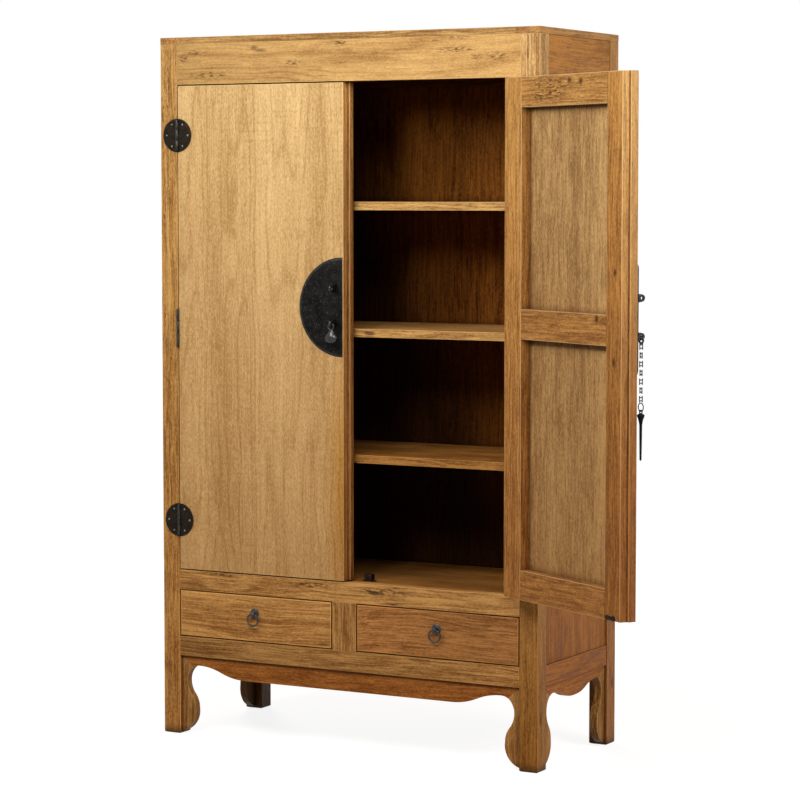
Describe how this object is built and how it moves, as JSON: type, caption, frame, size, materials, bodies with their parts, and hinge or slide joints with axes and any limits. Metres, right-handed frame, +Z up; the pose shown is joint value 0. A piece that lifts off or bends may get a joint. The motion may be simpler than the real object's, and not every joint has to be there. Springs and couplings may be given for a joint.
{
  "type": "wedding cabinet",
  "caption": "Tall two-door wooden cabinet with shelves behind the doors, drawers below, curved apron and brackets, and forged iron hinges, lock plates, pull, chain and ring pulls.",
  "frame": {"origin": "on the floor at the middle of the carcass footprint", "axes": "+Z up, +X to the right as seen from the front, the front faces -Y; the right door stands open at rest"},
  "size_m": [1.5409, 0.7686, 1.9],
  "materials": {
    "frame_wood": "worn satin oil",
    "door_board_wood": "worn satin oil",
    "door_frame_wood": "worn satin oil",
    "side_wood": "worn satin oil",
    "inside_wood": "bare, darkened",
    "iron": "blackened, forged"
  },
  "bodies": {
    "carcass": {"top_panel": "frame_wood", "top_end_rails": "side_wood", "front_left_post": "frame_wood", "front_right_post": "frame_wood", "back_left_post": "frame_wood", "back_right_post": "frame_wood", "front_top_rail": "frame_wood", "front_middle_rail": "frame_wood", "front_lower_rail": "frame_wood", "drawer_divider": "frame_wood", "side_top_rails": "side_wood", "side_lower_rails": "side_wood", "side_panels": "side_wood", "back_rails": "inside_wood", "back_panel": "inside_wood", "front_apron": "frame_wood", "side_aprons": "frame_wood", "leg_brackets": "frame_wood", "cabinet_floor": "inside_wood", "lower_shelf": "inside_wood", "middle_shelf": "inside_wood", "upper_shelf": "inside_wood", "shelf_bearers": "inside_wood", "drawer_runners": "inside_wood", "door_catch": "iron", "post_hinge_leaves": "iron", "post_hinge_nails": "iron"},
    "left_door": {"left_door_board": "door_board_wood", "left_door_hinge_stile": "door_frame_wood", "left_door_meeting_stile": "door_frame_wood", "left_door_rails": "door_frame_wood", "left_door_hinge_leaves": "iron", "left_door_hinge_nails": "iron", "left_lock_plate": "iron", "left_lock_lugs": "iron"},
    "right_door": {"right_door_board": "door_board_wood", "right_door_hinge_stile": "door_frame_wood", "right_door_meeting_stile": "door_frame_wood", "right_door_rails": "door_frame_wood", "right_door_hinge_leaves": "iron", "right_door_hinge_nails": "iron", "right_lock_plate": "iron", "right_lock_lugs": "iron", "catch_strike": "iron"},
    "left_pull": {"left_door_pull": "iron"},
    "chain": {"lock_chain": "iron"},
    "pin": {"lock_pin": "iron"},
    "left_drawer": {"left_drawer_front": "frame_wood", "left_drawer_sides": "inside_wood", "left_drawer_back": "inside_wood", "left_drawer_bottom": "inside_wood", "left_drawer_pull": "iron"},
    "right_drawer": {"right_drawer_front": "frame_wood", "right_drawer_sides": "inside_wood", "right_drawer_back": "inside_wood", "right_drawer_bottom": "inside_wood", "right_drawer_pull": "iron"},
    "left_ring": {"left_drawer_ring": "iron"},
    "right_ring": {"right_drawer_ring": "iron"}
  },
  "joints": [
    {"name": "left_door_swing", "type": "hinge", "parent": "carcass", "child": "left_door", "pos_m": [-0.5185, -0.239, 0], "axis": [0, 0, -1], "range_deg": [0, 175]},
    {"name": "right_door_swing", "type": "hinge", "parent": "carcass", "child": "right_door", "pos_m": [0.5185, -0.239, 0], "axis": [0, 0, 1], "range_deg": [-150, 25]},
    {"name": "left_drawer_slide", "type": "slide", "parent": "carcass", "child": "left_drawer", "axis": [0, -1, 0], "range_m": [0, 0.3]},
    {"name": "right_drawer_slide", "type": "slide", "parent": "carcass", "child": "right_drawer", "axis": [0, -1, 0], "range_m": [0, 0.3]},
    {"name": "left_ring_swing", "type": "hinge", "parent": "left_drawer", "child": "left_ring", "pos_m": [-0.27825, -0.246, 0.351], "axis": [-1, 0, 0], "range_deg": [0, 100]},
    {"name": "right_ring_swing", "type": "hinge", "parent": "right_drawer", "child": "right_ring", "pos_m": [0.27825, -0.246, 0.351], "axis": [-1, 0, 0], "range_deg": [0, 100]},
    {"name": "left_pull_swing", "type": "hinge", "parent": "left_door", "child": "left_pull", "pos_m": [-0.022, -0.262, 1.14], "axis": [-1, 0, 0], "range_deg": [0, 90]},
    {"name": "chain_swing", "type": "hinge", "parent": "right_door", "child": "chain", "pos_m": [0.95825, -0.46633, 1.14], "axis": [0.866, -0.5, 0], "range_deg": [0, 60]},
    {"name": "pin_swing", "type": "hinge", "parent": "chain", "child": "pin", "pos_m": [0.95825, -0.46633, 0.9603], "axis": [0.866, -0.5, 0], "range_deg": [0, 60]}
  ]
}
